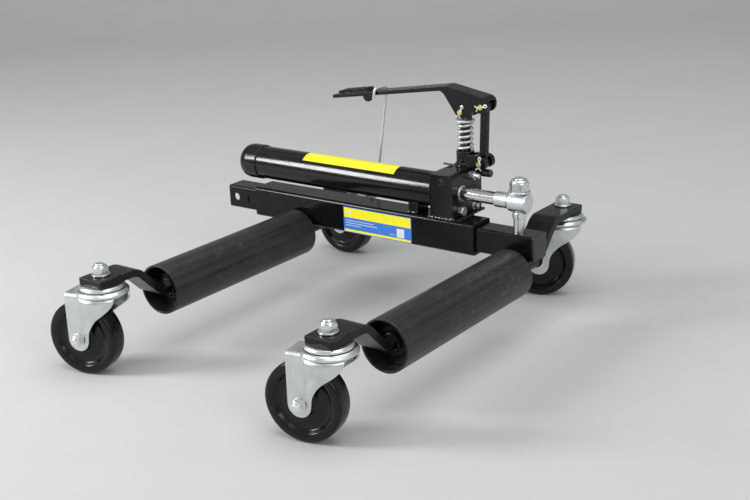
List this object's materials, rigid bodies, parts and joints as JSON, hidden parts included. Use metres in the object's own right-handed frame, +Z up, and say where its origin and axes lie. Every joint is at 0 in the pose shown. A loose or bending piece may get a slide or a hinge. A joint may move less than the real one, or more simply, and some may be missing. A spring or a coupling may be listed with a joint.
{
  "type": "hydraulic wheel dolly",
  "caption": "Hydraulic wheel dolly: two rollers on a telescopic square beam, drawn together under a tyre by a foot-pumped ram, on swivel casters.",
  "frame": {"origin": "centre of the footprint, on the floor", "axes": "+Z up, +X along the beam towards the ram, +Y towards the beam from the open side"},
  "size_m": [0.548, 0.6262, 0.3222],
  "materials": {
    "gloss_black_paint": "glossy black enamel",
    "satin_black_paint": "satin black, lengthwise draw lines, scuffed",
    "black_plastic_cap": "matt black moulded plastic",
    "black_plastic_wheel": "glossy moulded black polymer",
    "bright_zinc": "bright blue-white zinc plate",
    "hard_chrome": "ground and hard-chromed",
    "oiled_steel": "dark oiled steel",
    "yellow_zinc": "yellow passivated zinc",
    "printed_label": "plain printed film, no lettering"
  },
  "bodies": {
    "frame": {"outer_tube": "gloss_black_paint", "left_axle": "gloss_black_paint", "left_front_bracket": "gloss_black_paint", "left_rear_bracket": "gloss_black_paint", "front_left_caster_stem": "bright_zinc", "front_left_caster_nut": "bright_zinc", "rear_left_caster_stem": "bright_zinc", "rear_left_caster_nut": "bright_zinc", "pump_cylinder": "gloss_black_paint", "pump_end_cap": "gloss_black_paint", "pump_block": "gloss_black_paint", "pump_base_plate": "gloss_black_paint", "pump_support": "gloss_black_paint", "plunger_housing": "gloss_black_paint", "plunger_spring": "bright_zinc", "link_lower_pin": "yellow_zinc", "block_upper_plug": "bright_zinc", "block_lower_plug": "bright_zinc", "block_front_bolt": "bright_zinc"},
    "sliding_arm": {"inner_tube": "gloss_black_paint", "inner_tube_end_cap": "black_plastic_cap", "right_axle": "gloss_black_paint", "right_axle_saddle": "gloss_black_paint", "right_front_bracket": "gloss_black_paint", "right_rear_bracket": "gloss_black_paint", "front_right_caster_stem": "bright_zinc", "front_right_caster_nut": "bright_zinc", "rear_right_caster_stem": "bright_zinc", "rear_right_caster_nut": "bright_zinc", "ram_rod": "hard_chrome", "ram_eye": "bright_zinc", "ram_pin": "bright_zinc", "ram_pin_nut": "bright_zinc"},
    "left_roller_set": {"left_roller": "satin_black_paint", "left_roller_front_bush": "satin_black_paint", "left_roller_rear_bush": "satin_black_paint"},
    "right_roller_set": {"right_roller": "satin_black_paint", "right_roller_front_bush": "satin_black_paint", "right_roller_rear_bush": "satin_black_paint"},
    "link": {"lever_link": "gloss_black_paint"},
    "lever": {"pump_lever": "gloss_black_paint", "foot_pad": "gloss_black_paint", "plunger_pin": "yellow_zinc", "link_upper_pin": "yellow_zinc"},
    "plunger_set": {"plunger": "oiled_steel", "spring_washer": "bright_zinc"},
    "release_knob": {"release_valve": "satin_black_paint"},
    "hook": {"pedal_hook": "bright_zinc"},
    "front_left_swivel": {"front_left_caster_fork": "bright_zinc", "front_left_caster_axle_bolt": "bright_zinc"},
    "front_left_wheel": {"front_left_caster_wheel": "black_plastic_wheel"},
    "front_right_swivel": {"front_right_caster_fork": "bright_zinc", "front_right_caster_axle_bolt": "bright_zinc"},
    "front_right_wheel": {"front_right_caster_wheel": "black_plastic_wheel"},
    "rear_left_swivel": {"rear_left_caster_fork": "bright_zinc", "rear_left_caster_axle_bolt": "bright_zinc"},
    "rear_left_wheel": {"rear_left_caster_wheel": "black_plastic_wheel"},
    "rear_right_swivel": {"rear_right_caster_fork": "bright_zinc", "rear_right_caster_axle_bolt": "bright_zinc"},
    "rear_right_wheel": {"rear_right_caster_wheel": "black_plastic_wheel"}
  },
  "joints": [
    {"name": "arm_slide", "type": "slide", "parent": "frame", "child": "sliding_arm", "axis": [1, 0, 0], "range_m": [-0.04, 0.18]},
    {"name": "left_roller_spin", "type": "hinge", "parent": "frame", "child": "left_roller_set", "pos_m": [-0.127, -0.04473, 0.0902], "axis": [0, 1, 0], "continuous": true},
    {"name": "right_roller_spin", "type": "hinge", "parent": "sliding_arm", "child": "right_roller_set", "pos_m": [0.24, -0.04473, 0.0902], "axis": [0, 1, 0], "continuous": true},
    {"name": "front_left_swivel_turn", "type": "hinge", "parent": "frame", "child": "front_left_swivel", "pos_m": [-0.1385, -0.27673, 0.115], "axis": [0, 0, 1], "continuous": true},
    {"name": "front_left_wheel_spin", "type": "hinge", "parent": "front_left_swivel", "child": "front_left_wheel", "pos_m": [-0.16935, -0.28402, 0.05], "axis": [0.23, -0.9732, 0], "continuous": true},
    {"name": "front_right_swivel_turn", "type": "hinge", "parent": "sliding_arm", "child": "front_right_swivel", "pos_m": [0.2285, -0.27673, 0.115], "axis": [0, 0, 1], "continuous": true},
    {"name": "front_right_wheel_spin", "type": "hinge", "parent": "front_right_swivel", "child": "front_right_wheel", "pos_m": [0.19728, -0.28224, 0.05], "axis": [0.1736, -0.9848, 0], "continuous": true},
    {"name": "rear_left_swivel_turn", "type": "hinge", "parent": "frame", "child": "rear_left_swivel", "pos_m": [-0.1435, 0.27867, 0.115], "axis": [0, 0, 1], "continuous": true},
    {"name": "rear_left_wheel_spin", "type": "hinge", "parent": "rear_left_swivel", "child": "rear_left_wheel", "pos_m": [-0.17518, 0.27978, 0.05], "axis": [-0.0349, -0.9994, 0], "continuous": true},
    {"name": "rear_right_swivel_turn", "type": "hinge", "parent": "sliding_arm", "child": "rear_right_swivel", "pos_m": [0.2235, 0.27867, 0.115], "axis": [0, 0, 1], "continuous": true},
    {"name": "rear_right_wheel_spin", "type": "hinge", "parent": "rear_right_swivel", "child": "rear_right_wheel", "pos_m": [0.19371, 0.26783, 0.05], "axis": [0.342, -0.9397, 0], "continuous": true},
    {"name": "link_swing", "type": "hinge", "parent": "frame", "child": "link", "pos_m": [0.158, 0.16927, 0.217], "axis": [0, -1, 0], "range_deg": [0, 5.3]},
    {"name": "lever_press", "type": "hinge", "parent": "link", "child": "lever", "pos_m": [0.1609, 0.16927, 0.2974], "axis": [0, -1, 0], "range_deg": [0, 19.8], "stiffness_Nm_per_rad": 4, "springref_deg": -34.38},
    {"name": "plunger_stroke", "type": "slide", "parent": "frame", "child": "plunger_set", "axis": [0, 0, -1], "range_m": [0, 0.0131], "deforming": ["plunger_spring"]},
    {"name": "release_turn", "type": "hinge", "parent": "frame", "child": "release_knob", "pos_m": [0.157, 0.17327, 0.2015], "axis": [1, 0, 0], "range_deg": [0, 270]},
    {"name": "hook_swing", "type": "hinge", "parent": "lever", "child": "hook", "pos_m": [-0.015, 0.16927, 0.30724], "axis": [0, 1, 0], "range_deg": [-25, 20]}
  ],
  "couplings": [
    {"joint": "link_swing", "follows": "lever_press", "ratio": 0.2645},
    {"joint": "plunger_stroke", "follows": "lever_press", "m_per_rad": 0.0377}
  ]
}
